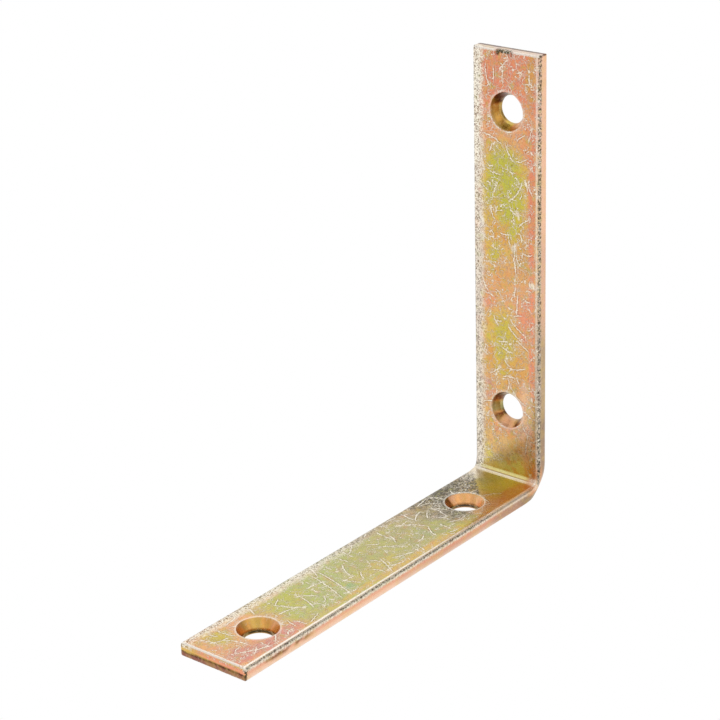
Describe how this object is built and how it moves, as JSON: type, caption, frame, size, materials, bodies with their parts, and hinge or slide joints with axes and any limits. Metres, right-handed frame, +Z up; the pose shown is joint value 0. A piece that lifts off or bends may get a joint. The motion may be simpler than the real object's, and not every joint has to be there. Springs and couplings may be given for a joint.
{
  "type": "corner brace bracket",
  "caption": "Equal-legged corner brace bent from one flat strip, with countersunk screw holes in both legs.",
  "frame": {"origin": "underside of the foot leg, at the middle of its length and width", "axes": "+X along the foot leg to its free end, +Y across the strip, +Z up the upright leg"},
  "size_m": [0.1, 0.017, 0.1],
  "materials": {
    "chromated_zinc": "yellow chromated zinc plate on steel, iridescent gold, coral and green, scratched"
  },
  "bodies": {
    "root": {"bracket": "chromated_zinc"}
  },
  "joints": []
}
